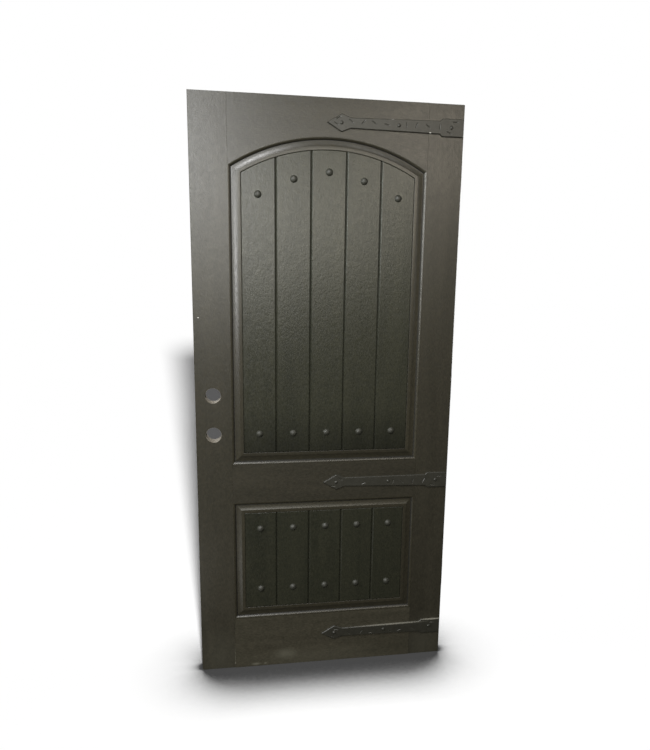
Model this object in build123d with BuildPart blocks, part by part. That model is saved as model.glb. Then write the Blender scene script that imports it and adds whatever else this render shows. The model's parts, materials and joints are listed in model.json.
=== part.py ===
from build123d import *

import math
import os

# Wooden door slab with an arched upper panel, planked panels, decorative iron straps and butt hinges.
# X runs to the hinge stile, the front face looks along -Y and Z is up, all in millimetres.
# The origin is the middle of the bottom edge, halfway through the thickness.

os.makedirs("parts", exist_ok=True)

# Slab
door_width = 914.4
door_height = 2032.0
door_thickness = 44.45
stile_width = 122.0
bottom_rail_height = 200.0
lock_rail_bottom = 655.0
lock_rail_height = 142.0
arch_crown_drop = 120.0
arch_rise = 99.0
arris = 1.5
joint_ease = 0.6
worn_corner_radius = 8.0
eased_corner_radius = 3.0

# Panels: planks with a tongue all round that floats in a groove of the stiles and rails
plank_count = 5
plank_pitch_share = 0.20225
field_recess = 3.0
vee_chamfer = 5.0
rim_chamfer = 2.0
panel_tongue_thickness = 12.0
panel_groove_depth = 12.0
panel_end_gap = 0.5
panel_side_gap = 0.15
plank_gap = 0.2
plank_tongue_thickness = 5.0
plank_tongue_length = 8.0

# Panel moulding, measured inwards from the edge of the opening
moulding_width = 42.0
moulding_gap = 0.15
sticking_width = 10.5
sticking_depth = 7.5
cove_width = 20.0
cove_foot_angle = 5.0
crest_depth = 2.4
lip_chamfer = 0.6

# Decorative nails in the planks, placed from the ends of each plank's raised face
clavo_radius = 12.5
clavo_height = 8.0
clavo_shank_radius = 2.5
clavo_shank_length = 24.0
upper_clavo_drop = 67.5
upper_clavo_rise = 69.0
lower_clavo_drop = 62.0
lower_clavo_rise = 73.0
nail_gap = 0.1

# Decorative straps, from the pointed head to the square plate at the hinge edge
top_strap_drop = 77.0
middle_strap_rise = 62.0
bottom_strap_rise = 119.0
strap_tilts = {"top": 0.0, "middle": -0.6, "bottom": 0.0}
strap_length = 465.0
strap_thickness = 6.0
strap_edge_gap = 2.5
strap_chamfer = 2.0
strap_head_length = 48.0
strap_head_width = 57.0
strap_head_radius = 5.0
strap_neck_length = 31.0
strap_neck_width = 33.0
strap_band_width = 42.5
strap_plate_length = 75.0
strap_plate_width = 57.5
strap_step_length = 8.0
strap_nail_radius = 6.3
strap_nail_height = 4.0
strap_nail_shank_radius = 2.3
strap_nail_shank_length = 30.0
strap_nail_shares = (0.102, 0.517, 0.906)

# Chisel marks on the straps: shares of the length and of half the plate's width, and angles in degrees
mark_length = 19.0
mark_width = 4.6
mark_depth = 1.3
mark_floor_length_share = 0.5
mark_floor_width_share = 0.15
mark_place_shares = {
    "top": (
        (0.082, 0.52), (0.065, -0.12), (0.171, 0.22), (0.259, 0.15), (0.338, 0.15), (0.431, 0.0),
        (0.573, 0.04), (0.646, 0.06), (0.732, 0.07), (0.82, 0.04), (0.936, 0.63), (0.891, -0.56),
    ),
    "middle": (
        (0.134, 0.4), (0.08, -0.48), (0.319, -0.22), (0.558, -0.14), (0.631, -0.14),
        (0.721, -0.15), (0.807, -0.04), (0.936, 0.49), (0.885, -0.68),
    ),
    "bottom": (
        (0.117, 0.45), (0.087, -0.5), (0.222, -0.22), (0.328, -0.16), (0.407, -0.36),
        (0.566, -0.28), (0.65, -0.28), (0.764, -0.18), (0.93, 0.54),
    ),
}
mark_angles = {
    "top": (27, -28, -40, 45, -35, -12, 90, 65, -32, 88, 0, -25),
    "middle": (-30, -5, 20, 75, -45, 80, 58, 0, -10),
    "bottom": (0, -28, -40, 60, -5, -45, 30, -40, 0),
}

# Lock preparation, the lockset's height taken from the top of the lock rail
lock_backset = 60.325
lock_bore_radius = 27.0
lockset_rise = 111.0
deadbolt_rise = 139.7
latch_bore_radius = 12.7
latch_mortise_width = 25.4
latch_mortise_height = 57.15
latch_mortise_depth = 3.2
latch_mortise_radius = 6.0
latch_screw_spacing = 41.3
latch_screw_radius = 1.4
latch_screw_depth = 18.0

# Dowels between the rails and the stiles, at shares of each rail's height at its ends
dowel_radius = 8.0
dowel_length = 130.0
dowel_gap = 0.1
top_rail_dowel_shares = (0.3, 0.75)
lock_rail_dowel_shares = (0.28, 0.72)
bottom_rail_dowel_shares = (0.2, 0.5, 0.8)

# Butt hinges, the middle one halfway between the others
top_hinge_drop = 228.6
bottom_hinge_rise = 330.2
hinge_length = 101.6
leaf_reach = 32.0
leaf_thickness = 3.0
leaf_gap = 1.6
leaf_seat_gap = 0.15
hinge_axis_projection = 8.5
barrel_radius = 6.5
barrel_clearance = 0.5
knuckle_count = 5
knuckle_gap = 0.3
pin_radius = 3.5
pin_gap = 0.05
pin_head_height = 4.0
pin_head_chamfer = 1.2
screw_radius = 2.2
screw_head_radius = 4.4
screw_head_angle = 90
screw_length = 28.0
screw_gap = 0.1
jamb_screw_hole_radius = 2.8
outer_screw_inset = 8.0
inner_screw_inset = 21.0
outer_screw_spacing = 76.0
inner_screw_spacing = 32.0

# Length by which a cut runs past a face
overrun = 5.0

# Places that follow from the sizes
half_width = door_width / 2
half_thickness = door_thickness / 2
opening_half = half_width - stile_width
lock_rail_top = lock_rail_bottom + lock_rail_height
arch_radius = (opening_half**2 + arch_rise**2) / (2 * arch_rise)
arch_crown_height = door_height - arch_crown_drop
arch_spring_height = arch_crown_height - arch_rise
arch_centre_height = arch_crown_height - arch_radius
field_half = half_thickness - field_recess
field_half_width = opening_half - moulding_width
tongue_half = panel_tongue_thickness / 2
plank_pitch = plank_pitch_share * 2 * field_half_width
plank_joints = [plank_pitch * (n - plank_count / 2) for n in range(1, plank_count)]
plank_edges = [-field_half_width, *plank_joints, field_half_width]
plank_centres = [plank_pitch * (n - (plank_count - 1) / 2) for n in range(plank_count)]
lock_bore_x = lock_backset - half_width
lockset_height = lock_rail_top + lockset_rise
lock_bore_heights = (lockset_height, lockset_height + deadbolt_rise)
strap_end = half_width - strap_edge_gap
strap_heights = {
    "top": door_height - top_strap_drop,
    "middle": lock_rail_bottom + middle_strap_rise,
    "bottom": bottom_strap_rise,
}
top_hinge_height = door_height - top_hinge_drop
hinge_heights = {
    "top": top_hinge_height,
    "middle": (top_hinge_height + bottom_hinge_rise) / 2,
    "bottom": bottom_hinge_rise,
}
hinge_axis_x = half_width + leaf_gap / 2
hinge_axis_y = half_thickness + hinge_axis_projection
leaf_edge = half_thickness - leaf_reach


def finish(piece, name):
    """Labels a finished piece and writes it."""
    piece.part.label = name
    export_step(piece.part, f"parts/{name}.step")


def block(left, right, low, high, mode=Mode.ADD):
    """Rectangle between two places across and two places up."""
    with Locations(((left + right) / 2, (low + high) / 2)):
        Rectangle(right - left, high - low, mode=mode)


def arch_height(inset, across):
    """Height of the arch, drawn inwards from the opening's edge, at a distance from the middle."""
    return arch_centre_height + math.sqrt((arch_radius - inset) ** 2 - across**2)


def opening_corners(panel, inset):
    """Corners of an opening drawn inwards from its edge, clockwise from the lower left."""
    half = opening_half - inset
    if panel == "upper":
        low, high = lock_rail_top + inset, arch_height(inset, half)
    else:
        low, high = bottom_rail_height + inset, lock_rail_bottom - inset
    return [(-half, low), (-half, high), (half, high), (half, low)]


def opening_outline(panel, inset, mode=Mode.ADD):
    """Face of an opening drawn inwards from its edge, with the arch over the upper one."""
    lower_left, upper_left, upper_right, lower_right = opening_corners(panel, inset)
    with BuildLine() as edge:
        Polyline(upper_left, lower_left, lower_right, upper_right)
        if panel == "upper":
            ThreePointArc(upper_left, (0, arch_crown_height - inset), upper_right)
        else:
            Line(upper_left, upper_right)
    make_face(edge.edges(), mode=mode)


def across_cylinders(places, radius, length, mode):
    """Cylinders along X, centred on the places."""
    with Locations(*places):
        Cylinder(radius, length, rotation=(0, 90, 0), mode=mode)


def dowel_places():
    """Centres of the dowels, on the joints between rails and stiles."""
    rails = (
        (arch_spring_height, door_height, top_rail_dowel_shares),
        (lock_rail_bottom, lock_rail_top, lock_rail_dowel_shares),
        (0, bottom_rail_height, bottom_rail_dowel_shares),
    )
    heights = [low + share * (high - low) for low, high, shares in rails for share in shares]
    return [(side * opening_half, 0, height) for height in heights for side in (-1, 1)]


def strap_plane(name):
    """Plane of a strap on the front of the door, from the middle of its plate's end, looking forwards."""
    turn = math.radians(strap_tilts[name])
    return Plane(
        origin=(strap_end, -half_thickness, strap_heights[name]),
        x_dir=(math.cos(turn), 0, math.sin(turn)),
        z_dir=(0, -1, 0),
    )


def strap_nail_places(depth):
    """Places on the axes of all strap nails, at a depth behind the front of the straps."""
    return [
        strap_plane(name).from_local_coords(((share - 1) * strap_length, 0, strap_thickness - depth))
        for name in strap_heights
        for share in strap_nail_shares
    ]


def clavo_places(panel, depth):
    """Places on the axes of a panel's nails, at a depth behind the front of the planks."""
    places = []
    for n, across in enumerate(plank_centres):
        if panel == "upper":
            shorter_side = max(abs(plank_edges[n]), abs(plank_edges[n + 1]))
            top = arch_height(moulding_width, shorter_side) - upper_clavo_drop
            foot = lock_rail_top + moulding_width + upper_clavo_rise
        else:
            top = lock_rail_bottom - moulding_width - lower_clavo_drop
            foot = bottom_rail_height + moulding_width + lower_clavo_rise
        places += [(across, depth - field_half, height) for height in (top, foot)]
    return places


def drill(places, radius, depth):
    """Holes along Y through the current piece, centred on the places."""
    with Locations(*places):
        Cylinder(radius, depth, rotation=(90, 0, 0), mode=Mode.SUBTRACT)


def joinery():
    """Cuts the panel grooves, dowel holes and strap nail holes that fall in the current stile or rail."""
    for panel in ("upper", "lower"):
        with BuildSketch(Plane.XZ) as groove:
            opening_outline(panel, -panel_groove_depth)
        extrude(groove.sketch, amount=tongue_half + panel_side_gap, both=True, mode=Mode.SUBTRACT)
    dowel_hole = dowel_length + 2 * panel_end_gap
    across_cylinders(dowel_places(), dowel_radius + dowel_gap, dowel_hole, Mode.SUBTRACT)
    nail_hole = strap_nail_shank_length + panel_end_gap
    drill(strap_nail_places(nail_hole / 2), strap_nail_shank_radius + nail_gap, nail_hole)


def screw_offsets():
    """Screw centres on a hinge leaf: place through the door and height from the hinge's middle."""
    columns = ((outer_screw_inset, outer_screw_spacing), (inner_screw_inset, inner_screw_spacing))
    return [(leaf_edge + inset, side * spacing / 2) for inset, spacing in columns for side in (-1, 1)]


def screw_places(x):
    """Screw centres of all hinges at one place across."""
    return [(x, y, height + rise) for height in hinge_heights.values() for y, rise in screw_offsets()]


# Lock stile, with its lower corner worn round, the cross bores, the latch bores and their mortises
with BuildPart() as lock_stile:
    with BuildSketch(Plane.XZ):
        block(-half_width, -opening_half, 0, door_height)
    extrude(amount=half_thickness, both=True)
    outer_corners = lock_stile.faces().sort_by(Axis.X)[0].edges().filter_by(Axis.Y).sort_by(Axis.Z)
    fillet(outer_corners[0], worn_corner_radius)
    chamfer(lock_stile.faces().sort_by(Axis.X)[0].edges().filter_by(Axis.Z), arris)
    joinery()
    with BuildSketch(Plane.XZ):
        with Locations(*[(lock_bore_x, height) for height in lock_bore_heights]):
            Circle(lock_bore_radius)
    extrude(amount=door_thickness, both=True, mode=Mode.SUBTRACT)
    lock_edge = Plane(origin=(-half_width, 0, 0), x_dir=(0, -1, 0), z_dir=(-1, 0, 0))
    with BuildSketch(lock_edge):
        with Locations(*[(0, height) for height in lock_bore_heights]):
            RectangleRounded(latch_mortise_width, latch_mortise_height, latch_mortise_radius)
    extrude(amount=-latch_mortise_depth, mode=Mode.SUBTRACT)
    with BuildSketch(lock_edge):
        with Locations(*[(0, height) for height in lock_bore_heights]):
            Circle(latch_bore_radius)
    extrude(amount=-lock_backset, mode=Mode.SUBTRACT)
    with BuildSketch(lock_edge):
        with Locations(*[(0, height) for height in lock_bore_heights]):
            with GridLocations(0, latch_screw_spacing, 1, 2):
                Circle(latch_screw_radius)
    extrude(amount=-latch_mortise_depth - latch_screw_depth, mode=Mode.SUBTRACT)
finish(lock_stile, "lock_stile")

# Hinge stile, with its corners eased, the leaf mortises and their screw holes
with BuildPart() as hinge_stile:
    with BuildSketch(Plane.XZ):
        block(opening_half, half_width, 0, door_height)
    extrude(amount=half_thickness, both=True)
    fillet(hinge_stile.faces().sort_by(Axis.X)[-1].edges().filter_by(Axis.Y), eased_corner_radius)
    chamfer(hinge_stile.faces().sort_by(Axis.X)[-1].edges().filter_by(Axis.Z), arris)
    joinery()
    for height in hinge_heights.values():
        with BuildSketch(Plane.XY.offset(height)):
            block(
                half_width - leaf_thickness,
                half_width + overrun,
                leaf_edge - leaf_seat_gap,
                half_thickness + overrun,
            )
        extrude(amount=hinge_length / 2 + leaf_seat_gap, both=True, mode=Mode.SUBTRACT)
    screw_hole = screw_length + panel_end_gap
    screw_holes = screw_places(half_width - screw_hole / 2)
    across_cylinders(screw_holes, screw_radius + screw_gap, screw_hole, Mode.SUBTRACT)
finish(hinge_stile, "hinge_stile")

# Rails, the top one cut to the arch
rail_heights = {
    "top_rail": (arch_spring_height, door_height),
    "lock_rail": (lock_rail_bottom, lock_rail_top),
    "bottom_rail": (0, bottom_rail_height),
}
for name, (low, high) in rail_heights.items():
    with BuildPart() as rail:
        with BuildSketch(Plane.XZ):
            block(-opening_half, opening_half, low, high)
            if name == "top_rail":
                opening_outline("upper", 0, Mode.SUBTRACT)
        extrude(amount=half_thickness, both=True)
        chamfer(rail.edges().filter_by(Axis.Z), joint_ease)
        joinery()
    finish(rail, name)

# Dowels
with BuildPart() as dowels:
    across_cylinders(dowel_places(), dowel_radius, dowel_length, Mode.ADD)
finish(dowels, "dowels")

# Planks, with half a vee at each joint and a small chamfer beside the mouldings, tongued on the right
# and grooved on the left
for panel in ("upper", "lower"):
    for n in range(plank_count):
        left = plank_edges[n] + plank_gap / 2
        right = plank_edges[n + 1] - plank_gap / 2
        first, last = n == 0, n == plank_count - 1
        with BuildPart() as plank:
            with BuildSketch(Plane.XZ):
                opening_outline(panel, moulding_width + moulding_gap)
                block(left, right, 0, door_height, Mode.INTERSECT)
            extrude(amount=field_half, both=True)
            uprights = plank.edges().filter_by(Axis.Z).group_by(Axis.X)
            joints = [*([] if first else uprights[0]), *([] if last else uprights[-1])]
            chamfer(joints, vee_chamfer)
            raised = plank.faces().filter_by(Axis.Y).edges()
            uprights = raised.filter_by(Axis.Z).group_by(Axis.X)
            rim = [*raised.filter_by(Axis.Z, reverse=True), *(uprights[0] if first else [])]
            chamfer([*rim, *(uprights[-1] if last else [])], rim_chamfer)
            with BuildSketch(Plane.XZ):
                opening_outline(panel, panel_end_gap - panel_groove_depth)
                block(
                    -half_width if first else left,
                    half_width if last else right,
                    0,
                    door_height,
                    Mode.INTERSECT,
                )
            extrude(amount=tongue_half, both=True)
            if not last:
                with BuildSketch(Plane.XZ):
                    opening_outline(panel, panel_end_gap - panel_groove_depth)
                    block(right, right + plank_tongue_length, 0, door_height, Mode.INTERSECT)
                extrude(amount=plank_tongue_thickness / 2, both=True)
            if not first:
                with BuildSketch(Plane.XZ):
                    block(left, left + plank_tongue_length + panel_end_gap, 0, door_height)
                groove_half = plank_tongue_thickness / 2 + panel_side_gap
                extrude(amount=groove_half, both=True, mode=Mode.SUBTRACT)
            clavo_hole = clavo_shank_length + panel_end_gap
            drill(clavo_places(panel, clavo_hole / 2), clavo_shank_radius + nail_gap, clavo_hole)
        finish(plank, f"{panel}_plank_{n + 1}")


def moulding_profile():
    """Section of the moulding, inwards along x and backwards along y from the edge of the opening: a rounded
    sticking, a shallow cove that rises to its crest, and a flat band with a chamfered lip beside the planks."""
    seat = half_thickness - tongue_half
    crest = sticking_width + cove_width
    rising = Vector(1, 0).rotate(Axis.Z, -cove_foot_angle)
    with BuildLine() as section:
        Line((moulding_gap, seat), (moulding_gap, 0))
        TangentArc((moulding_gap, 0), (sticking_width, sticking_depth), tangent=(1, 0))
        TangentArc((sticking_width, sticking_depth), (crest, crest_depth), tangent=rising)
        Polyline(
            (crest, crest_depth),
            (moulding_width - lip_chamfer, crest_depth),
            (moulding_width, crest_depth + lip_chamfer),
            (moulding_width, seat),
            (moulding_gap, seat),
        )
    make_face(section.edges())


def mitre(corner, inner, middle):
    """Plane of the mitre from an outer to an inner corner, looking at the middle of the member it ends."""
    start = Vector(corner[0], 0, corner[1])
    normal = (Vector(inner[0], 0, inner[1]) - start).cross(Vector(0, 1, 0))
    if normal.dot(middle - start) < 0:
        normal = -normal
    return Plane(origin=start, z_dir=normal)


# Panel mouldings, mitred round each opening, on the front and mirrored on the back
moulding_names = {"upper": ("left", "arch", "right", "bottom"), "lower": ("left", "top", "right", "bottom")}
for panel, sides in moulding_names.items():
    outer, inner = opening_corners(panel, 0), opening_corners(panel, moulding_width)
    for n, side in enumerate(sides):
        after = (n + 1) % len(sides)
        start = Vector(outer[n][0], 0, outer[n][1])
        end = Vector(outer[after][0], 0, outer[after][1])
        middle = (start + end) / 2
        along = (end - start).normalized()
        with BuildPart() as moulding:
            if side == "arch":
                origin = (0, -half_thickness, arch_crown_height)
                with BuildSketch(Plane(origin=origin, x_dir=(0, 0, -1), z_dir=(1, 0, 0))):
                    moulding_profile()
                revolve(axis=Axis((0, 0, arch_centre_height), (0, 1, 0)))
            else:
                origin = start + Vector(0, -half_thickness, 0)
                inwards = Vector(0, 1, 0).cross(along)
                with BuildSketch(Plane(origin=origin, x_dir=inwards, z_dir=along)):
                    moulding_profile()
                extrude(amount=(end - start).length)
            split(bisect_by=mitre(outer[n], inner[n], middle), keep=Keep.TOP)
            split(bisect_by=mitre(outer[after], inner[after], middle), keep=Keep.TOP)
        finish(moulding, f"{panel}_{side}_moulding_front")
        with BuildPart() as back_moulding:
            mirror(moulding.part, about=Plane.XZ)
        finish(back_moulding, f"{panel}_{side}_moulding_back")


def domed_nail(radius, height, shank_radius, shank_length):
    """Nail with a domed head seated at the origin and its shank along +Y."""
    sphere_radius = (radius**2 + height**2) / (2 * height)
    with BuildPart() as nail:
        with BuildSketch(Plane.XY):
            with BuildLine():
                CenterArc(
                    (0, sphere_radius - height),
                    sphere_radius,
                    -90,
                    math.degrees(math.asin(radius / sphere_radius)),
                )
                Polyline(
                    (radius, 0),
                    (shank_radius, 0),
                    (shank_radius, shank_length),
                    (0, shank_length),
                    (0, -height),
                )
            make_face()
        revolve(axis=Axis.Y)
    return nail.part


# Decorative nails of the planks
clavo = domed_nail(clavo_radius, clavo_height, clavo_shank_radius, clavo_shank_length)
with BuildPart() as clavos:
    with Locations(*clavo_places("upper", 0), *clavo_places("lower", 0)):
        add(clavo)
finish(clavos, "clavos")

# Decorative straps, forged with a pointed head and chisel marks
for name in strap_heights:
    face = strap_plane(name)
    with BuildPart() as strap:
        with BuildSketch(face) as outline:
            with BuildLine():
                Polyline(
                    (-strap_length, 0),
                    (-strap_length + strap_head_length, strap_head_width / 2),
                    (-strap_length + strap_head_length + strap_neck_length, strap_neck_width / 2),
                    (-strap_plate_length - strap_step_length, strap_band_width / 2),
                    (-strap_plate_length, strap_plate_width / 2),
                    (0, strap_plate_width / 2),
                    (0, 0),
                )
                mirror(about=Plane.XZ)
            make_face()
            fillet(outline.vertices().group_by(Axis.X)[1], strap_head_radius)
        extrude(amount=strap_thickness)
        chamfer(strap.faces().sort_by(Axis.Y)[0].edges(), strap_chamfer)
        with BuildSketch(face):
            with Locations(*[((share - 1) * strap_length, 0) for share in strap_nail_shares]):
                Circle(strap_nail_shank_radius + nail_gap)
        extrude(amount=strap_thickness, mode=Mode.SUBTRACT)
        for (along_share, across_share), angle in zip(mark_place_shares[name], mark_angles[name]):
            along = (along_share - 1) * strap_length
            across = across_share * strap_plate_width / 2
            mark = Plane(face.location * Location((along, across, strap_thickness), (0, 0, angle)))
            with BuildSketch(mark):
                Rectangle(mark_length, mark_width)
            with BuildSketch(mark.offset(-mark_depth)):
                Rectangle(mark_length * mark_floor_length_share, mark_width * mark_floor_width_share)
            loft(mode=Mode.SUBTRACT)
    finish(strap, f"{name}_strap")

strap_nail = domed_nail(
    strap_nail_radius, strap_nail_height, strap_nail_shank_radius, strap_nail_shank_length
)
with BuildPart() as strap_nails:
    with Locations(*strap_nail_places(0)):
        add(strap_nail)
finish(strap_nails, "strap_nails")


def hinge_leaf(height, near, head_side, hole_radius, knuckles):
    """Leaf of a hinge from its near face across, with its knuckles and holes countersunk on one side."""
    foot = height - hinge_length / 2
    pitch = hinge_length / knuckle_count
    far = near + leaf_thickness
    head_face = far if head_side > 0 else near
    with BuildPart() as leaf:
        with BuildSketch(Plane.XY.offset(foot)):
            block(near, far, leaf_edge, hinge_axis_y - barrel_radius - barrel_clearance)
        extrude(amount=hinge_length)
        for knuckle in knuckles:
            with BuildSketch(Plane.XY.offset(foot + knuckle * pitch + knuckle_gap / 2)):
                block(near, far, leaf_edge, hinge_axis_y)
                with Locations((hinge_axis_x, hinge_axis_y)):
                    Circle(barrel_radius)
                    Circle(pin_radius + pin_gap, mode=Mode.SUBTRACT)
            extrude(amount=pitch - knuckle_gap)
        for y, rise in screw_offsets():
            with Locations(Plane(origin=(head_face, y, height + rise), z_dir=(head_side, 0, 0))):
                CounterSinkHole(
                    hole_radius,
                    hole_radius + screw_head_radius - screw_radius,
                    leaf_thickness,
                    screw_head_angle,
                )
    return leaf


# Hinges: the door leaf carries the knuckles between those of the frame leaf
for name, height in hinge_heights.items():
    door_knuckles, frame_knuckles = range(1, knuckle_count, 2), range(0, knuckle_count, 2)
    door_leaf = hinge_leaf(height, half_width - leaf_thickness, 1, screw_radius + screw_gap, door_knuckles)
    finish(door_leaf, f"{name}_hinge_door_leaf")
    frame_leaf = hinge_leaf(height, half_width + leaf_gap, -1, jamb_screw_hole_radius, frame_knuckles)
    finish(frame_leaf, f"{name}_hinge_frame_leaf")
    with BuildPart() as pin:
        with BuildSketch(Plane.XY.offset(height - hinge_length / 2)):
            with Locations((hinge_axis_x, hinge_axis_y)):
                Circle(pin_radius)
        extrude(amount=hinge_length)
        with BuildSketch(Plane.XY.offset(height + hinge_length / 2)):
            with Locations((hinge_axis_x, hinge_axis_y)):
                Circle(barrel_radius)
        extrude(amount=pin_head_height)
        chamfer(pin.edges().sort_by(Axis.Z)[-1], pin_head_chamfer)
    finish(pin, f"{name}_hinge_pin")

# Countersunk screws of the door leaves
head_depth = (screw_head_radius - screw_radius) / math.tan(math.radians(screw_head_angle / 2))
with BuildPart() as screw:
    with BuildSketch(Plane.XY):
        with BuildLine():
            Polyline(
                (0, 0),
                (0, screw_head_radius),
                (-head_depth, screw_radius),
                (-screw_length, screw_radius),
                (-screw_length, 0),
                close=True,
            )
        make_face()
    revolve(axis=Axis.X)
with BuildPart() as hinge_screws:
    with Locations(*screw_places(half_width)):
        add(screw.part)
finish(hinge_screws, "hinge_screws")
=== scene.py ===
# %% [markdown]
# # A wooden door with an arched panel
#
# This lesson dresses a finished CAD model of a door. The model gives every board, nail, strap and hinge its
# exact shape and place, in metres, with the front face looking along -Y and Z up. Blender adds what the eye
# meets first: the stain and the grain of the wood, the blackened iron, soft studio light and the camera.

# %% Load the door
import json
import math

import bpy
import numpy as np
from mathutils import Matrix, Vector


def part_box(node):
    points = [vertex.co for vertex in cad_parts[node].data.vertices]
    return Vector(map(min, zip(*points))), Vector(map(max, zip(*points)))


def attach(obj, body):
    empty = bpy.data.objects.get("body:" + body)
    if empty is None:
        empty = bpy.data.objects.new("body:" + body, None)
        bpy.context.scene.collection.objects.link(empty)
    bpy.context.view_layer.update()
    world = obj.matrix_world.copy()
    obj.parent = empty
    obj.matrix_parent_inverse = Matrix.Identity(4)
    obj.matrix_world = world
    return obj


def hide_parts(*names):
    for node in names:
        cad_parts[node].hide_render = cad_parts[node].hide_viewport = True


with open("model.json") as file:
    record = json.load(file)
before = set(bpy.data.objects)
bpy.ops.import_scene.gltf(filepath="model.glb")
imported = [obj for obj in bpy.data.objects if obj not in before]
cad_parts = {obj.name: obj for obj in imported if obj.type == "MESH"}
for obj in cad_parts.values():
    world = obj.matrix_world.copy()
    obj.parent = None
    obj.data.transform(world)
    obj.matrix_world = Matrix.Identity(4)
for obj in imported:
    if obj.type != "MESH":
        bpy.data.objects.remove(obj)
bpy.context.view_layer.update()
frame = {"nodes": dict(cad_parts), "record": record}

nodes = frame["nodes"]

# %% [markdown]
# ## The camera
#
# The camera stands a little left of the door and above its middle, and looks slightly down. Its place, its
# focal length and its small roll come from fitting the four corners of the slab. Writing the three axes of
# the camera into a matrix sets the roll directly, which is plainer than adding up Euler angles.

# %% Camera
IMAGE_HEIGHT_PX = 750
FOCAL_PX = 556.0
SENSOR_MM = 36.0
CAMERA_PLACE = Vector((-0.2695, -1.9347, 1.4428))
AZIMUTH, ELEVATION, ROLL = (math.radians(a) for a in (-7.801, 9.588, 0.664))

level_right = Vector((math.cos(AZIMUTH), math.sin(AZIMUTH), 0))
level_back = Vector((math.sin(AZIMUTH), -math.cos(AZIMUTH), 0))
back = math.cos(ELEVATION) * level_back + math.sin(ELEVATION) * Vector((0, 0, 1))
level_up = back.cross(level_right)
right = math.cos(ROLL) * level_right + math.sin(ROLL) * level_up
up = math.cos(ROLL) * level_up - math.sin(ROLL) * level_right

lens = bpy.data.cameras.new("camera")
lens.sensor_width = SENSOR_MM
lens.lens = FOCAL_PX / IMAGE_HEIGHT_PX * SENSOR_MM
camera = bpy.data.objects.new("camera", lens)
camera.matrix_world = Matrix.Translation(CAMERA_PLACE) @ Matrix((right, up, back)).transposed().to_4x4()
bpy.context.scene.collection.objects.link(camera)
bpy.context.scene.camera = camera
print("lens", round(lens.lens, 2), "mm")

# %% [markdown]
# ## Helpers
#
# Colours are written as the hex values that a paint chart would show, and turned to linear light once, here.
# The second function adds one node to a material, with its settings and its inputs. An input is either a
# plain value or the output of another node, which it links. The last one puts a new piece in the place of a
# CAD node: the new piece moves with the door, and the node is hidden.


# %% Helpers for materials
def linear(hex_colour):
    """Linear RGBA of an sRGB hex value: c / 12.92 in the darkest part, and ((c + 0.055) / 1.055) ** 2.4
    above it."""
    c = np.array([int(hex_colour[i : i + 2], 16) for i in (1, 3, 5)]) / 255
    rgb = np.where(c <= 0.04045, c / 12.92, ((c + 0.055) / 1.055) ** 2.4)
    return (*rgb.tolist(), 1.0)


def add(tree, kind, inputs, **settings):
    """Adds a shader node; inputs maps a socket's name or number to a value or to the output that feeds it."""
    made = tree.nodes.new("ShaderNode" + kind)
    for name, value in settings.items():
        setattr(made, name, value)
    for key, value in inputs.items():
        if isinstance(value, bpy.types.NodeSocket):
            tree.links.new(value, made.inputs[key])
        else:
            made.inputs[key].default_value = value
    return made


def blank(name):
    """A new material with an empty node tree, and that tree."""
    material = bpy.data.materials.new(name)
    material.use_nodes = True
    material.node_tree.nodes.clear()
    return material, material.node_tree


# %% Helper for new pieces
MM = 0.001
slot_of = {row["node"]: row["material_slot"] for row in frame["record"]["subparts"]}
dressed = dict(nodes)


def stand_in(node, points, faces, sharp_degrees):
    """A piece in the place of a CAD node, from arrays of points and faces, smooth up to an angle between two
    faces."""
    mesh = bpy.data.meshes.new("smooth_" + node)
    mesh.from_pydata(points, [], faces)
    mesh.polygons.foreach_set("use_smooth", np.ones(len(mesh.polygons), bool))
    mesh.set_sharp_from_angle(angle=math.radians(sharp_degrees))
    piece = bpy.data.objects.new("smooth_" + node, mesh)
    bpy.context.scene.collection.objects.link(piece)
    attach(piece, "door")
    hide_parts(node)
    dressed[node] = piece
    return mesh


# %% [markdown]
# ## Smooth mouldings
#
# A moulding is a planed stick with one section along its whole length, mitred at the corners: a rounded
# sticking beside the frame, a cove that rises to a crest, and a flat band with a fine lip. The cove has to be
# perfectly smooth, because the light that slides along it draws the panel. The CAD mesh cuts it into a few
# flats, so here the section is carried along each edge of an opening again, with many points. The section is
# one array and the edge is another, and their product is a grid that covers the piece. Each point also keeps
# its own place in the stick, so that the grain can follow the arch.

# %% Section of the moulding
# Inwards from the edge of the opening, or back from the face of the frame, in millimetres
SEAT_GAP, SECTION_WIDTH, SEAT_DEPTH = 0.15, 42.0, 16.225
STICKING_WIDTH, STICKING_DEPTH = 10.5, 7.5
COVE_WIDTH, CREST_DEPTH, LIP = 20.0, 2.4, 0.6
COVE_FOOT_DEGREES = 5.0
EASE, EASE_DEGREES = 0.3, 12.0
ARC_POINTS = 14


def eased(outline, reach):
    """A closed outline with its corners eased: one that turns by more than EASE_DEGREES becomes three points
    of a quadratic curve, (start, (start + 2 corner + end) / 4, end), whose ends lie a reach from the
    corner."""
    ahead, behind = np.roll(outline, -1, 0) - outline, np.roll(outline, 1, 0) - outline
    ahead /= np.linalg.norm(ahead, axis=1, keepdims=True)
    behind /= np.linalg.norm(behind, axis=1, keepdims=True)
    start, end = outline + reach * behind, outline + reach * ahead
    three = np.stack([start, (start + 2 * outline + end) / 4, end], 1)
    turns = (ahead * behind).sum(1) > -math.cos(math.radians(EASE_DEGREES))
    kept = turns[:, None] | np.array([False, True, False])
    return np.where(turns[:, None, None], three, outline[:, None])[kept]


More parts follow.
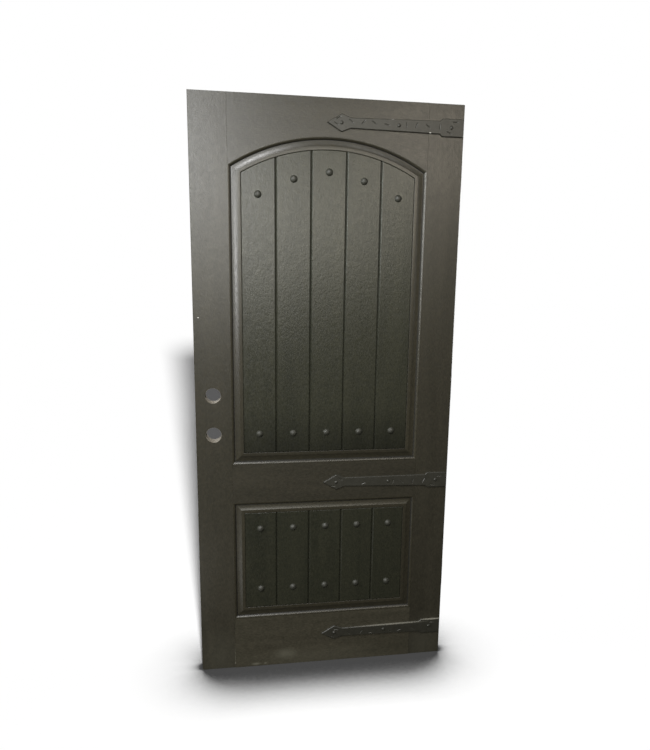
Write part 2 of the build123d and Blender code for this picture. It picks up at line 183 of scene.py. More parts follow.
def tangent_arc(start, end, degrees):
    """Points of the arc from a start to an end that leaves the start at an angle: with the chord c at an
    angle t to that direction, the radius is c / (2 sin t), and the arc turns by 2 t."""
    chord = np.subtract(end, start)
    first = math.radians(degrees)
    lean = math.atan2(chord[1], chord[0]) - first
    turned = np.linspace(0, 2 * lean, ARC_POINTS)
    radius = np.hypot(*chord) / (2 * math.sin(lean))
    across, on = radius * (1 - np.cos(turned)), radius * np.sin(turned)
    way, side = np.array([math.cos(first), math.sin(first)]), np.array([-math.sin(first), math.cos(first)])
    return np.array(start) + on[:, None] * way + across[:, None] * side


crest = STICKING_WIDTH + COVE_WIDTH
sticking = tangent_arc((SEAT_GAP, 0), (STICKING_WIDTH, STICKING_DEPTH), 0)
cove = tangent_arc((STICKING_WIDTH, STICKING_DEPTH), (crest, CREST_DEPTH), -COVE_FOOT_DEGREES)
section = eased(np.concatenate([
    [(SEAT_GAP, SEAT_DEPTH)],
    sticking,
    cove[1:],
    [(SECTION_WIDTH - LIP, CREST_DEPTH), (SECTION_WIDTH, CREST_DEPTH + LIP), (SECTION_WIDTH, SEAT_DEPTH)],
]), EASE) * MM
print("section of", len(section), "points, groove", STICKING_DEPTH, "mm deep")

# %% Openings that the mouldings line
ARCH_RISE = 99.0 * MM
width = SECTION_WIDTH * MM
inward, deep = section.T
share = (inward / width)[:, None]
opening_left, opening_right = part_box("lock_stile")[1][0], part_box("hinge_stile")[0][0]
lower_foot, lower_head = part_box("bottom_rail")[1][2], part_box("lock_rail")[0][2]
upper_foot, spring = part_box("lock_rail")[1][2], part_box("top_rail")[0][2]
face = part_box("lock_stile")[0][1]
arch_radius = (opening_right**2 + ARCH_RISE**2) / (2 * ARCH_RISE)
arch_centre = spring + ARCH_RISE - arch_radius
inner_right = opening_right - width
inner_spring = arch_centre + math.sqrt((arch_radius - width) ** 2 - inner_right**2)


def corners(left, right, foot, head):
    """The four corners of an opening, clockwise from the lower left."""
    return [(left, foot), (left, head), (right, head), (right, foot)]


openings = {
    "upper": (corners(opening_left, opening_right, upper_foot, spring),
              corners(-inner_right, inner_right, upper_foot + width, inner_spring)),
    "lower": (corners(opening_left, opening_right, lower_foot, lower_head),
              corners(-inner_right, inner_right, lower_foot + width, lower_head - width)),
}
print("arch of radius", round(arch_radius, 4), "m")

# %% Mouldings round the openings
ARCH_STEPS, STRAIGHT_STEPS = 120, 12
MOULDING_SHARP_DEGREES = 25


def stick(outer_start, outer_end, inner_start, inner_end):
    """Places along a straight stick: at each inward share, a line between the two mitres, with
    (steps, points, 2) rows."""
    start = np.array(outer_start) + share * np.subtract(inner_start, outer_start)
    end = np.array(outer_end) + share * np.subtract(inner_end, outer_end)
    along = np.linspace(0, 1, STRAIGHT_STEPS)[:, None, None]
    return start + along * (end - start)


def arch(outer_end, inner_end):
    """Places along the arch: (centre + (radius - inward) (sin a, cos a)), with a running between the mitres,
    where the line from the outer to the inner corner is radius - inward away from the centre."""
    centre = np.array([0, arch_centre])
    corner, mitre = np.array(outer_end) - centre, np.subtract(inner_end, outer_end)
    a, b, c = mitre @ mitre, 2 * corner @ mitre, corner @ corner - (arch_radius - inward) ** 2
    end = corner + ((-b - np.sqrt(b**2 - 4 * a * c)) / (2 * a))[:, None] * mitre
    angle = np.linspace(-1, 1, ARCH_STEPS)[:, None] * np.arctan2(end[:, 0], end[:, 1])
    return centre + (arch_radius - inward)[:, None] * np.stack([np.sin(angle), np.cos(angle)], 2)


def moulding(node, places, mirrored):
    """A closed stick: the section's ring of points at each place, joined by four-sided faces, with a cap at
    each end. Its run attribute holds (length along the stick, inward, deep) for the grain."""
    steps, ring = places.shape[:2]
    depth = np.broadcast_to(face + deep, (steps, ring))
    points = np.stack([places[..., 0], -depth if mirrored else depth, places[..., 1]], 2)
    at = np.arange(steps * ring).reshape(steps, ring)
    around = np.roll(at, -1, 1)
    sides = np.stack([at[:-1], around[:-1], around[1:], at[1:]], 2).reshape(-1, 4)
    faces = sides.tolist() + [at[0, ::-1].tolist(), at[-1].tolist()]
    if mirrored:
        faces = [loop[::-1] for loop in faces]
    mesh = stand_in(node, points.reshape(-1, 3), faces, MOULDING_SHARP_DEGREES)
    length = np.linalg.norm(np.diff(places, axis=0), axis=2).cumsum(0)
    length = np.concatenate([np.zeros((1, ring)), length])
    run = np.stack(np.broadcast_arrays(length, inward, deep), 2)
    mesh.attributes.new("run", "FLOAT_VECTOR", "POINT").data.foreach_set("vector", run.ravel())


for panel, (outer, inner) in openings.items():
    for n, side in enumerate(("left", "arch" if panel == "upper" else "top", "right", "bottom")):
        after = (n + 1) % len(outer)
        if side == "arch":
            places = arch(outer[after], inner[after])
        else:
            places = stick(outer[n], outer[after], inner[n], inner[after])
        moulding(f"{panel}_{side}_moulding_front", places, False)
        moulding(f"{panel}_{side}_moulding_back", places, True)
    print("mouldings of the", panel, "opening, front and back")

# %% [markdown]
# ## Hammered nails
#
# The clavos are decorative nails with a forged, domed head. A perfect dome would look turned on a lathe, so
# each head is a sphere with a few shallow flats that a hammer left. A flat is a plane just inside the sphere,
# and every point of the head moves in to the lowest of its planes. The places of the heads are read from the
# CAD node.

# %% Places and sizes of the clavos
TIP_SLACK, PLACE_DECIMALS = 0.01 * MM, 5
head_corners = np.empty(len(nodes["clavos"].data.vertices) * 3)
nodes["clavos"].data.vertices.foreach_get("co", head_corners)
head_corners = head_corners.reshape(-1, 3)
tip = head_corners[:, 1].min()
tips = head_corners[head_corners[:, 1] < tip + TIP_SLACK]
centres = np.unique(np.round(tips[:, [0, 2]], PLACE_DECIMALS), axis=0)
plank_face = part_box("upper_plank_3")[0][1]
head_height, head_radius = plank_face - tip, centres[:, 0].min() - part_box("clavos")[0][0]
ball = (head_radius**2 + head_height**2) / (2 * head_height)
rim = math.acos(1 - head_height / ball)
print(len(centres), "nail heads", round(2 * head_radius / MM, 1), "mm across")

# %% Clavos
HEAD_RINGS, HEAD_COLUMNS = 10, 28
HAMMER_FLATS, FLAT_DEPTH, FLAT_SPREAD, LEAST_FACING = 9, 0.35 * MM, 0.8, 0.1
SHANK_RADIUS, SHANK_LENGTH = 2.5 * MM, 24.0 * MM
CLAVO_SHARP_DEGREES = 50
OUTWARDS = np.array([0.0, -1.0, 0.0])
random = np.random.default_rng(7)


def direction(tilt, turn):
    """Unit vectors at a tilt t from the outward axis and a turn u about it:
    (sin t cos u, -cos t, sin t sin u)."""
    x, y, z = np.sin(tilt) * np.cos(turn), -np.cos(tilt), np.sin(tilt) * np.sin(turn)
    return np.stack(np.broadcast_arrays(x, y, z), -1)


round_about = np.linspace(0, 2 * np.pi, HEAD_COLUMNS, endpoint=False)
ways = direction(np.linspace(0, rim, HEAD_RINGS + 1)[1:, None], round_about)
flat_tilt = rim * FLAT_SPREAD * np.sqrt(random.uniform(0, 1, (len(centres), HAMMER_FLATS)))
flats = direction(flat_tilt, random.uniform(0, 2 * np.pi, flat_tilt.shape))


def hammered(ways):
    """Distance of a head's points from the middle of its ball: the least of its radius and of each flat's
    plane, which is (ball - FLAT_DEPTH) / cos of the angle between the point and the flat."""
    facing = np.einsum("hfc,...c->h...f", flats, ways)
    return np.minimum(ball, ((ball - FLAT_DEPTH) / np.maximum(facing, LEAST_FACING)).min(-1))


middles = np.stack([centres[:, 0], np.full(len(centres), tip + ball), centres[:, 1]], 1)
heads = middles[:, None, None] + hammered(ways)[..., None] * ways
crown = middles + hammered(OUTWARDS)[:, None] * OUTWARDS
circle = np.stack([np.cos(round_about), np.zeros(HEAD_COLUMNS), np.sin(round_about)], 1)
base = np.stack([centres[:, 0], np.full(len(centres), plank_face), centres[:, 1]], 1)[:, None, None]
shank_ends = np.array([0, SHANK_LENGTH])[:, None, None]
shanks = base + SHANK_RADIUS * circle - shank_ends * OUTWARDS
rows = np.concatenate([heads, shanks], 1)
points = np.concatenate([rows.reshape(len(centres), -1, 3), crown[:, None]], 1)
at = np.arange(rows.shape[1] * HEAD_COLUMNS).reshape(-1, HEAD_COLUMNS)
around = np.roll(at, -1, 1)
quads = np.stack([at[:-1], around[:-1], around[1:], at[1:]], 2).reshape(-1, 4)
fan = np.stack([np.full(HEAD_COLUMNS, at.size), around[0], at[0]], 1)
first = (np.arange(len(centres)) * points.shape[1])[:, None, None]
faces = (first + quads).reshape(-1, 4).tolist() + (first + fan).reshape(-1, 3).tolist()
faces += (first[:, 0] + at[-1][::-1]).tolist()
stand_in("clavos", points.reshape(-1, 3), faces, CLAVO_SHARP_DEGREES)
print(HAMMER_FLATS, "hammer flats on each head")

# %% [markdown]
# ## Stained wood
#
# The door is an open-grained hardwood under an espresso stain and a satin varnish. Such a finish is nearly
# black where it reflects nothing, and goes grey where it mirrors a lamp, softly, because the varnish lies
# unevenly over the pores. Four noises make the grain: a broad figure, a mottle, short flecks and fine pores,
# each stretched along the board. Colour, gloss and relief come from the same noises, so a pore is dark and
# dull at once, and a fleck is pale, dull and raised. Every board gets its own place in the noise and its own
# depth of stain, as boards from different trees have. Stain pools in a groove and shade is painted there,
# and the varnish is rubbed away there, so grooves are black and dull.

# %% Grain, gloss and pooled stain
# Width and length in millimetres of one cell of each noise, its octaves and its distortion. The real pores
# are 0.3 mm wide, and are drawn wider to show.
FIGURE, MOTTLE = (70, 700, 3.0, 0.8), (14, 18, 3.0, 0.4)
FLECK, PORE = (4.5, 8, 2.0, 0.0), (2.4, 12, 2.0, 0.0)
# Values between which most of one noise lies, and most of a sum of three
NOISE_LOW, NOISE_HIGH, SUM_LOW, SUM_HIGH = 0.3, 0.7, 1.1, 1.9
# Height of the relief on each kind of board, and the flecks' share beside the mottle
RELIEF_MM, PLAIN_RELIEF_MM, FLECK_RELIEF = {"plank": 0.45, "moulding": 0.075}, 0.26, 0.75
# What each noise adds to the roughness, and the flecks on each kind of board
MOTTLE_DULLNESS, PORE_DULLNESS = 0.03, 0.05
FLECK_DULLNESS, PLAIN_FLECK_DULLNESS = {"plank": 0.045}, 0.015
# Lightness between the pores, and what a pore takes from it
CLEAR_SHADE, PORE_SHADE = 1.16, 0.32
# Lightness that pooled stain with painted shade takes from a groove, and the roughness the pooled stain adds
POOLED_STAIN_AND_SHADE, POOLED_DULLNESS = 0.8, 0.35
# Middle and half width, inwards across a moulding, of the grooves where stain pools and shade is painted, and
# how far
MOULDING_GROOVES_MM = ((10.2, 2.4, 0.8), (42.0, 1.6, 0.3))
# Distances from the middle of the door's thickness where pooled stain and painted shade start in a vee, and
# where they are black
PLANK_VEE_MM = (15.1, 13.2)
# Heights over which the painted shade low on the planks fades out, and the lightness it leaves below them
PAINTED_SHADE_HEIGHTS, PAINTED_SHADE_SHARE = (0.83, 1.0), 0.5


def pooled_stain_and_shade(tree, place, run, kind):
    """How far stain has pooled and shade is painted at a place, from 0 to 1: by depth in a plank's vee, or by
    the distance from the middle of the nearest groove across a moulding."""
    if kind == "plank":
        through = add(tree, "SeparateXYZ", {0: place}).outputs["Y"]
        depth = add(tree, "Math", {0: through}, operation="ABSOLUTE").outputs[0]
        start, black = (mm * MM for mm in PLANK_VEE_MM)
        return add(tree, "MapRange", {0: depth, 1: start, 2: black}).outputs[0]
    across = add(tree, "SeparateXYZ", {0: run}).outputs["Y"]
    total = None
    for middle_mm, half_mm, strength in MOULDING_GROOVES_MM:
        away = add(tree, "Math", {0: across, 1: middle_mm * MM}, operation="SUBTRACT").outputs[0]
        away = add(tree, "Math", {0: away}, operation="ABSOLUTE").outputs[0]
        edges = {1: half_mm * MM, 2: half_mm * MM / 2, 4: strength}
        groove = add(tree, "MapRange", {0: away, **edges}).outputs[0]
        total = add(tree, "Math", {0: total, 1: groove}, operation="MAXIMUM").outputs[0] if total else groove
    return total


print("grain in cells of", [cells[:2] for cells in (FIGURE, MOTTLE, FLECK, PORE)], "mm")

# %% Marks and stained wood
ALONG_X, ALONG_Z, ALONG_RUN = 0, 2, 3
MARK_DULLNESS = 0.8


def marked(tree, place, colour, dull, marks):
    """A colour and a roughness with soft dull marks on them; a mark is (centre, half sizes, colour, strength,
    softness), with its places in metres."""
    for centre, half, mark_colour, strength, softness in marks:
        scale, shift = [1 / h for h in half], [-c / h for c, h in zip(centre, half)]
        spot = add(tree, "Mapping", {"Vector": place, "Location": shift, "Scale": scale}).outputs[0]
        away = add(tree, "VectorMath", {0: spot}, operation="LENGTH").outputs["Value"]
        inside = add(tree, "MapRange", {0: away, 1: 1.0, 2: 1.0 - softness, 3: 0.0, 4: strength}).outputs[0]
        colours = {6: colour, 7: linear(mark_colour)}
        colour = add(tree, "Mix", {0: inside, **colours}, data_type="RGBA").outputs[2]
        dull = add(tree, "Mix", {0: inside, 2: dull, 3: MARK_DULLNESS}).outputs[0]
    return colour, dull


def stained_wood(name, kind, along, shift, tone, stain, roughness, marks=()):
    """Wood with its grain along an axis or along its own run, a dark and a light stain, pooled stain and
    painted shade in the grooves, painted shade low on the planks, and marks."""
    material, tree = blank(name)
    place = add(tree, "TexCoord", {}).outputs["Object"]
    run = add(tree, "Attribute", {}, attribute_name="run").outputs["Vector"] if along == ALONG_RUN else None

    def grain(width_mm, length_mm, octaves, distortion):
        """Noise whose cells have a width across the board and a length along it."""
        cell = [width_mm * MM] * 3
        cell[along % ALONG_RUN] = length_mm * MM
        board = {"Vector": run or place, "Location": shift, "Scale": [1 / c for c in cell]}
        board = add(tree, "Mapping", board).outputs[0]
        inputs = {"Vector": board, "Scale": 1.0, "Detail": octaves, "Distortion": distortion}
        return add(tree, "TexNoise", inputs).outputs["Fac"]

    figure, mottle, fleck, pore = (grain(*cells) for cells in (FIGURE, MOTTLE, FLECK, PORE))
    noise = {1: NOISE_LOW, 2: NOISE_HIGH}
    pore = add(tree, "MapRange", {0: pore, **noise}).outputs[0]

    depth = add(tree, "Math", {0: figure, 1: mottle}, operation="ADD").outputs[0]
    depth = add(tree, "Math", {0: depth, 1: fleck}, operation="ADD").outputs[0]
    depth = add(tree, "MapRange", {0: depth, 1: SUM_LOW, 2: SUM_HIGH}).outputs[0]
    colours = {6: linear(stain[0]), 7: linear(stain[1])}
    colour = add(tree, "Mix", {0: depth, **colours}, data_type="RGBA").outputs[2]
    pores = {1: -PORE_SHADE * tone, 2: CLEAR_SHADE * tone}
    shade = add(tree, "Math", {0: pore, **pores}, operation="MULTIPLY_ADD").outputs[0]

    ends = {3: roughness + MOTTLE_DULLNESS, 4: roughness - MOTTLE_DULLNESS}
    dull = add(tree, "MapRange", {0: mottle, **noise, **ends}).outputs[0]
    dull = add(tree, "Math", {0: pore, 1: PORE_DULLNESS, 2: dull}, operation="MULTIPLY_ADD").outputs[0]
    spread = FLECK_DULLNESS.get(kind, PLAIN_FLECK_DULLNESS)
    rough = add(tree, "MapRange", {0: fleck, **noise, 3: -spread, 4: spread}).outputs[0]
    dull = add(tree, "Math", {0: dull, 1: rough}, operation="ADD").outputs[0]

    # Painted shade darkens the planks towards the foot of the upper panel, and all of the lower ones
    if kind == "plank":
        height = add(tree, "SeparateXYZ", {0: place}).outputs["Z"]
        ends = {1: PAINTED_SHADE_HEIGHTS[0], 2: PAINTED_SHADE_HEIGHTS[1], 3: PAINTED_SHADE_SHARE, 4: 1.0}
        painted_low_shade = add(tree, "MapRange", {0: height, **ends}).outputs[0]
        shade = add(tree, "Math", {0: shade, 1: painted_low_shade}, operation="MULTIPLY").outputs[0]
    # Pooled stain and painted shade darken the grooves, and the rubbed varnish dulls them
    if kind in ("plank", "moulding"):
        pool_and_shade = pooled_stain_and_shade(tree, place, run, kind)
        left = add(tree, "Math", {0: pool_and_shade, 1: -POOLED_STAIN_AND_SHADE, 2: 1.0}, operation="MULTIPLY_ADD").outputs[0]
        shade = add(tree, "Math", {0: shade, 1: left}, operation="MULTIPLY").outputs[0]
        dull = add(tree, "Math", {0: pool_and_shade, 1: POOLED_DULLNESS, 2: dull}, operation="MULTIPLY_ADD").outputs[0]
    colour = add(tree, "VectorMath", {0: colour, "Scale": shade}, operation="SCALE").outputs[0]
    colour, dull = marked(tree, place, colour, dull, marks)

    relief = add(tree, "Math", {0: fleck, 1: FLECK_RELIEF, 2: mottle}, operation="MULTIPLY_ADD").outputs[0]
    relief_mm = RELIEF_MM.get(kind, PLAIN_RELIEF_MM)
    bump = add(tree, "Bump", {"Strength": 1.0, "Distance": relief_mm * MM, "Height": relief}).outputs[0]
    shader = add(tree, "BsdfPrincipled", {"Base Color": colour, "Roughness": dull, "Normal": bump})
    add(tree, "OutputMaterial", {"Surface": shader.outputs[0]})
    return material


print("marks are", MARK_DULLNESS, "rough")

# %% [markdown]
# ## Which way each board runs
#
# Uprights and planks have their grain along Z, rails along X and mouldings along their own run. The planks
# took the stain a little greener and darker than the frame. The lock stile also carries bare wood inside its
# bores, which were drilled after the stain had dried. The wear is small: a chip on the lock stile, a nick at
# the foot of its joint, and dust along the bottom edge. The foot of the door is lighter, as dust and as
# painted light from the floor, and the foot of the upper panel is darker, as painted shade.

# %% Stains and depths
# A dark and a light stain, and the roughness of the varnish
STAINS = {
    "plank": (("#21221a", "#2d2d23"), 0.30),
    "moulding": (("#25231b", "#322f25"), 0.30),
    "stile": (("#29271f", "#37342b"), 0.33),
    "rail": (("#29271f", "#37342b"), 0.33),
}
# How much of its lightness a board keeps, where it differs from the others. The upper panel's lower moulding
# is darker as painted shade, and the bottom rail is lighter, as dust and as painted light from the floor. The
# lower planks lie wholly under the planks' painted low shade, and make up for part of it.
TONE_AND_PAINTED_LIGHT = {
    # Painted shade at the foot of the upper panel
    "upper_bottom_moulding_front": 0.75,
    # Lighter as dust and as painted light from the floor
    "bottom_rail": 1.3,
    "lock_rail": 0.84,
    "top_rail": 0.84,
    "lock_stile": 0.86,
    "hinge_stile": 0.82,
}
LOWER_PLANK_LIGHTNESS = 1.75
TONE_AND_PAINTED_LIGHT.update({name: LOWER_PLANK_LIGHTNESS for name in nodes if "lower_plank" in name})
wood_nodes = sorted(n for n in nodes if any(kind in n for kind in STAINS))
print(len(TONE_AND_PAINTED_LIGHT), "of", len(wood_nodes), "boards have a depth of their own")

# %% Bare wood, chips, dust and painted light
LOCK_BACKSET, LOCKSET_RISE, DEADBOLT_RISE = 60.325 * MM, 111.0 * MM, 139.7 * MM
BORE_RADIUS, LATCH_RADIUS, LATCH_HALF_LENGTH = 27.3 * MM, 12.9 * MM, 20.0 * MM
RAW_WOOD, CHIP, DUST = "#665f52", "#d8d6cf", "#6b695c"
CRISP = 0.01
door_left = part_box("lock_stile")[0][0]
bore_x, latch_x = door_left + LOCK_BACKSET, door_left + LATCH_HALF_LENGTH
bore_heights = [upper_foot + LOCKSET_RISE, upper_foot + LOCKSET_RISE + DEADBOLT_RISE]
latch_half = (LATCH_HALF_LENGTH, LATCH_RADIUS, LATCH_RADIUS)
bores = [((bore_x, 0, z), (BORE_RADIUS, 1, BORE_RADIUS), RAW_WOOD, 1.0, CRISP) for z in bore_heights]
latches = [((latch_x, 0, z), latch_half, RAW_WOOD, 1.0, CRISP) for z in bore_heights]
chips = [((-0.440, face, 1.317), (1.9 * MM, 2 * MM, 2.2 * MM), CHIP, 0.9, 0.5)]
nick = [((opening_left, face, 0.045), (1.4 * MM, 2 * MM, 50 * MM), DUST, 0.35, 0.6),
        ((opening_left, face, 0.020), (3 * MM, 3 * MM, 6 * MM), DUST, 0.7, 0.7)]
dust = [((-0.145, face, 0.043), (52 * MM, 4 * MM, 28 * MM), DUST, 0.26, 0.8),
        ((-0.02, face, 0.020), (330 * MM, 4 * MM, 50 * MM), DUST, 0.08, 0.8),
        ((-0.258, face, 0.009), (22 * MM, 4 * MM, 6.5 * MM), DUST, 0.45, 0.7),
        ((-0.223, face, 0.009), (8 * MM, 4 * MM, 5 * MM), DUST, 0.4, 0.7)]
# Dust and painted light from the floor make the feet of both stiles lighter
stile_foot_dust_and_light = [((x, face, 0.04), (100 * MM, 4 * MM, 150 * MM), DUST, 0.12, 0.9) for x in (-0.39, 0.39)]
wear = {
    "lock_stile": bores + latches + chips + nick + stile_foot_dust_and_light,
    "bottom_rail": nick + dust,
    "hinge_stile": stile_foot_dust_and_light,
}
print(sum(len(marks) for marks in wear.values()), "marks on", len(wear), "boards")

# %% Boards
SHIFT_REACH, TONE_RANGE = 40, (0.94, 1.06)
for name in wood_nodes:
    kind = next(kind for kind in STAINS if kind in name)
    along = {"moulding": ALONG_RUN, "rail": ALONG_X}.get(kind, ALONG_Z)
    shift = random.uniform(-SHIFT_REACH, SHIFT_REACH, 3).tolist()
    tone = float(random.uniform(*TONE_RANGE)) * TONE_AND_PAINTED_LIGHT.get(name, 1.0)
    finish = (*STAINS[kind], wear.get(name, ()))
    material = stained_wood("stained_hardwood_" + name, kind, along, shift, tone, *finish)
    dressed[name].data.materials.clear()
    dressed[name].data.materials.append(material)
print("stained", len(wood_nodes), "boards")

# %% [markdown]
# ## Iron
#
# The straps are castings with a hammered face, and the nails are forged, all under black satin paint. Hollows
# about as wide as a hammer's edge tilt the reflections, and a fine sand texture dulls them. The paint is worn
# in two spots of the top strap, and a highlight is painted along the upper edge of the bottom one.

# %% Iron
HAMMER_MM, SAND_MM, SAND_RELIEF_MM = 16.0, 1.6, 0.03
SAND_SHINE, SAND_DULLNESS = 0.05, 0.06
# Colour of the painted highlight along the bottom strap's upper edge
PAINTED_EDGE_HIGHLIGHT = "#78756a"


def painted_iron(name, dark, light, roughness, hammer_depth_mm, marks=()):
    """Black paint over hammered or plain iron: two noises, one of hammer hollows and one of casting sand."""
    material, tree = blank(name)
    place = add(tree, "TexCoord", {}).outputs["Object"]
    hollows = {"Vector": place, "Scale": 1 / (HAMMER_MM * MM), "Detail": 1.0}
    grit = {"Vector": place, "Scale": 1 / (SAND_MM * MM), "Detail": 2.0}
    hammer, sand = (add(tree, "TexNoise", inputs).outputs["Fac"] for inputs in (hollows, grit))
    colours = {6: linear(dark), 7: linear(light)}
    colour = add(tree, "Mix", {0: hammer, **colours}, data_type="RGBA").outputs[2]
    ends = {1: NOISE_LOW, 2: NOISE_HIGH, 3: roughness - SAND_SHINE, 4: roughness + SAND_DULLNESS}
    dull = add(tree, "MapRange", {0: sand, **ends}).outputs[0]
    colour, dull = marked(tree, place, colour, dull, marks)
    fine = add(tree, "Bump", {"Distance": SAND_RELIEF_MM * MM, "Height": sand}).outputs[0]
    bump = add(tree, "Bump", {"Distance": hammer_depth_mm * MM, "Height": hammer, "Normal": fine}).outputs[0]
    shader = add(tree, "BsdfPrincipled", {"Base Color": colour, "Roughness": dull, "Normal": bump})
    add(tree, "OutputMaterial", {"Surface": shader.outputs[0]})
    return material


strap_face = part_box("top_strap")[0][1]
worn_and_highlit = [((0.209, strap_face, 1.9735), (7 * MM, 3 * MM, 2 * MM), CHIP, 0.5, 0.7),
        ((0.338, strap_face, 1.936), (5 * MM, 3 * MM, 3 * MM), CHIP, 0.6, 0.7),
        # Painted highlight: an overhead lamp's reflection along the upper edges of the bottom strap's band
        # and plate
        ((0.24, strap_face, 0.1385), (190 * MM, 9 * MM, 5 * MM), PAINTED_EDGE_HIGHLIGHT, 0.55, 0.6),
        ((0.42, strap_face, 0.1478), (55 * MM, 9 * MM, 5 * MM), PAINTED_EDGE_HIGHLIGHT, 0.7, 0.6)]
cast = painted_iron("black_painted_cast_iron", "#22211a", "#2e2d27", 0.46, 0.2, worn_and_highlit)
forged = painted_iron("black_painted_forged_iron", "#23231c", "#2e2e27", 0.52, 0.15)
steel = painted_iron("black_painted_hinge_steel", "#1b1b19", "#232321", 0.38, 0.02)
beech = stained_wood("plain_beech_dowel", "dowel", ALONG_X, [0, 0, 0], 1.0, ("#a98a5e", "#c3a678"), 0.6)
finishes = {"black_iron": cast, "hinge_steel": steel, "raw_wood": beech}
for name, piece in dressed.items():
    if slot_of[name] in finishes:
        finish = forged if name == "clavos" else finishes[slot_of[name]]
        piece.data.materials.clear()
        piece.data.materials.append(finish)
        print(name, "gets", finish.name)

# %% [markdown]
# ## Floor
#
# The ground is a plain white floor that runs out to a white world, so no horizon shows. It has a sun of its
# own, low in front of the door, which lights nothing else: the floor is then white without any more light on
# the door, and still takes the door's shadow. Near the foot of the door an Ambient Occlusion node darkens it,
# as soft light from all sides does. To all but camera and transmission rays the floor is a dim grey and the
# world is black, because the varnish would mirror a white one.

# %% Floor
REACH, FLOOR_DROP = 30.0, 2 * MM
FLOOR_SUN_WAY, FLOOR_SUN_ANGLE = Vector((-0.125, 1.0, -0.2)), math.radians(5)
FLOOR_SUN_SHARE = 0.9
# Reach and samples of the contact shadow, the openness at its darkest and at its end, and its darkest shade
CONTACT_REACH, CONTACT_SAMPLES = 0.27, 16
CONTACT_CLOSED, CONTACT_OPEN, CONTACT_SHADE = 0.69, 0.98, 0.06
FLOOR_DIM = 0.02
WHITE = linear("#ffffff")
floor_corners = [(x * REACH, y * REACH, -FLOOR_DROP) for x, y in ((-1, -1), (1, -1), (1, 1), (-1, 1))]
floor_mesh = bpy.data.meshes.new("floor")
floor_mesh.from_pydata(floor_corners, [], [(0, 1, 2, 3)])
floor = bpy.data.objects.new("floor", floor_mesh)
bpy.context.scene.collection.objects.link(floor)


def seen(tree):
    """1 for a camera or transmission ray, and 0 for any other."""
    path = add(tree, "LightPath", {}).outputs
    rays = {0: path["Is Camera Ray"], 1: path["Is Transmission Ray"]}
    return add(tree, "Math", rays, operation="MAXIMUM").outputs[0]


pale, tree = blank("pale_floor")
near = add(tree, "AmbientOcclusion", {"Distance": CONTACT_REACH}, samples=CONTACT_SAMPLES).outputs["AO"]
ends = {1: CONTACT_CLOSED, 2: CONTACT_OPEN, 3: CONTACT_SHADE, 4: 1.0}
contact = add(tree, "MapRange", {0: near, **ends}).outputs[0]
white = add(tree, "CombineColor", {0: contact, 1: contact, 2: contact}).outputs[0]
lit = add(tree, "BsdfDiffuse", {"Color": white}).outputs[0]
glow = add(tree, "Emission", {"Color": white, "Strength": 1.0 - FLOOR_SUN_SHARE}).outputs[0]
shown = add(tree, "AddShader", {0: lit, 1: glow}).outputs[0]
dim = add(tree, "Emission", {"Color": WHITE, "Strength": FLOOR_DIM}).outputs[0]
mixed = add(tree, "MixShader", {0: seen(tree), 1: dim, 2: shown}).outputs[0]
add(tree, "OutputMaterial", {"Surface": mixed})
floor_mesh.materials.append(pale)
print("floor", 2 * REACH, "m wide")

# %% Sun of the floor, and the world
only_floor = bpy.data.collections.new("only_floor")
only_floor.objects.link(floor)
all_but_floor = bpy.data.collections.new("all_but_floor")
all_but_floor.objects.link(floor)
all_but_floor.collection_objects[0].light_linking.link_state = "EXCLUDE"

sun = bpy.data.lights.new("floor_sun", "SUN")
sun.angle = FLOOR_SUN_ANGLE
sun.energy = FLOOR_SUN_SHARE * math.pi / -FLOOR_SUN_WAY.normalized().z
floor_sun = bpy.data.objects.new("floor_sun", sun)
floor_sun.matrix_world = FLOOR_SUN_WAY.to_track_quat("-Z", "Y").to_matrix().to_4x4()
floor_sun.light_linking.receiver_collection = only_floor
bpy.context.scene.collection.objects.link(floor_sun)

world = bpy.data.worlds.new("white_ground")
world.use_nodes = True
tree = world.node_tree
tree.nodes.clear()
ground = add(tree, "Background", {"Color": WHITE, "Strength": seen(tree)})
add(tree, "OutputWorld", {"Surface": ground.outputs[0]})
bpy.context.scene.world = world
print("floor sun of", round(sun.energy, 2), "W per square metre")

# %% [markdown]
# ## Studio lamps
#
# Large soft lamps stand in front on the left, where the varnish mirrors them from top to bottom, and dimmer
# ones stand overhead and on the right. The lamps at the sides and the small one by the floor draw the
# mouldings, whose slopes face that way. The last four light the hinge edge, the top and the back.

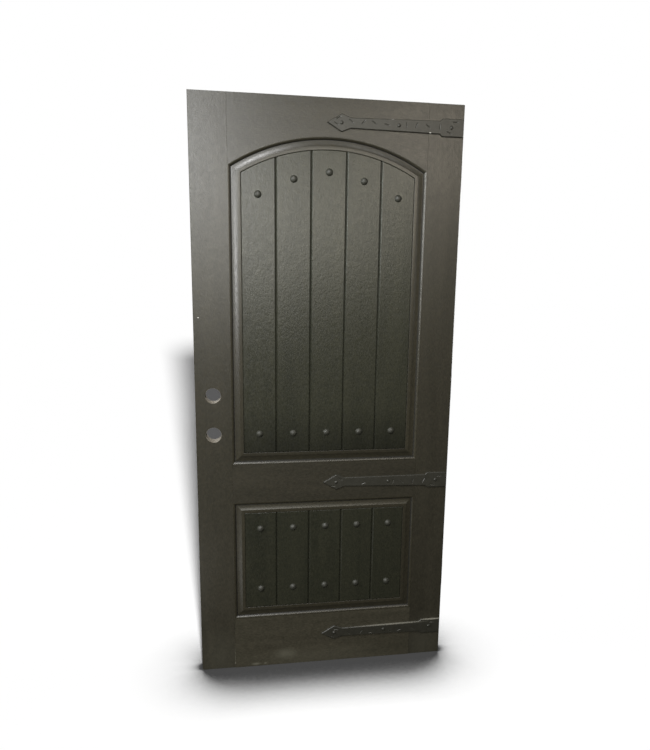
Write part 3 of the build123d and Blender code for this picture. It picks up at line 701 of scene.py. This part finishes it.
# %% Lamps
# Name, place, point that it faces, width and height in metres, watts, colour
LAMPS = [
    ("left_front_lamp", (-2.1, -2.6, 1.75), (-2.1, 0, 1.75), (0.9, 1.1), 68.0, "#ffffff"),
    ("far_left_lamp", (-3.2, -2.6, 2.3), (-3.2, 0, 2.3), (1.0, 0.7), 25.0, "#fafff8"),
    ("key_lamp", (-1.0, -2.6, 2.5), (-1.0, 0, 2.5), (0.7, 1.0), 36.0, "#fbfdff"),
    ("camera_lamp", (-0.4, -2.6, 1.88), (-0.4, 0, 1.88), (0.7, 1.1), 15.5, "#fffdf4"),
    ("centre_lamp", (0.45, -2.6, 1.97), (0.45, 0, 1.97), (1.0, 0.8), 11.0, "#fffaea"),
    ("right_front_lamp", (1.2, -2.6, 2.55), (1.2, 0, 2.55), (0.8, 0.8), 13.0, "#fff3e4"),
    ("overhead_lamp", (-1.0, -2.35, 4.0), (-1.0, -2.35, 0), (0.8, 0.8), 100.0, "#ffffff"),
    ("overhead_right_lamp", (1.2, -2.4, 4.0), (1.2, -2.4, 0), (1.2, 1.0), 17.0, "#ffffff"),
    ("left_side_lamp", (-3.6, -0.9, 2.4), (0, -0.9, 2.4), (0.9, 1.6), 48.0, "#fafff8"),
    ("right_side_lamp", (3.0, -1.3, 1.9), (0, -1.3, 1.9), (1.0, 1.6), 8.0, "#ffffff"),
    ("bounce_lamp", (-0.85, -0.6, 0.02), (-0.85, -0.6, 1), (0.55, 0.7), 1.6, "#ffffff"),
    ("hinge_side_lamp", (3.0, 0.9, 1.6), (0, 0.9, 1.6), (0.9, 1.6), 45.0, "#ffffff"),
    ("top_lamp", (0.0, 0.35, 4.2), (0.0, 0.35, 0), (1.2, 0.3), 60.0, "#ffffff"),
    ("back_left_lamp", (-1.8, 3.0, 2.6), (0, 0, 1.2), (1.4, 1.4), 110.0, "#ffffff"),
    ("back_right_lamp", (2.2, 3.0, 2.2), (0, 0, 1.0), (1.4, 1.4), 70.0, "#ffffff"),
]
for name, place, target, size, watts, colour in LAMPS:
    light = bpy.data.lights.new(name, "AREA")
    light.shape = "RECTANGLE"
    light.size, light.size_y = size
    light.energy = watts
    light.color = linear(colour)[:3]
    lamp = bpy.data.objects.new(name, light)
    aim = (Vector(target) - Vector(place)).to_track_quat("-Z", "Y")
    lamp.matrix_world = Matrix.Translation(place) @ aim.to_matrix().to_4x4()
    lamp.visible_camera = False
    lamp.light_linking.receiver_collection = all_but_floor
    bpy.context.scene.collection.objects.link(lamp)
    print(name, watts, "W")
bpy.context.scene.view_settings.view_transform = "Standard"
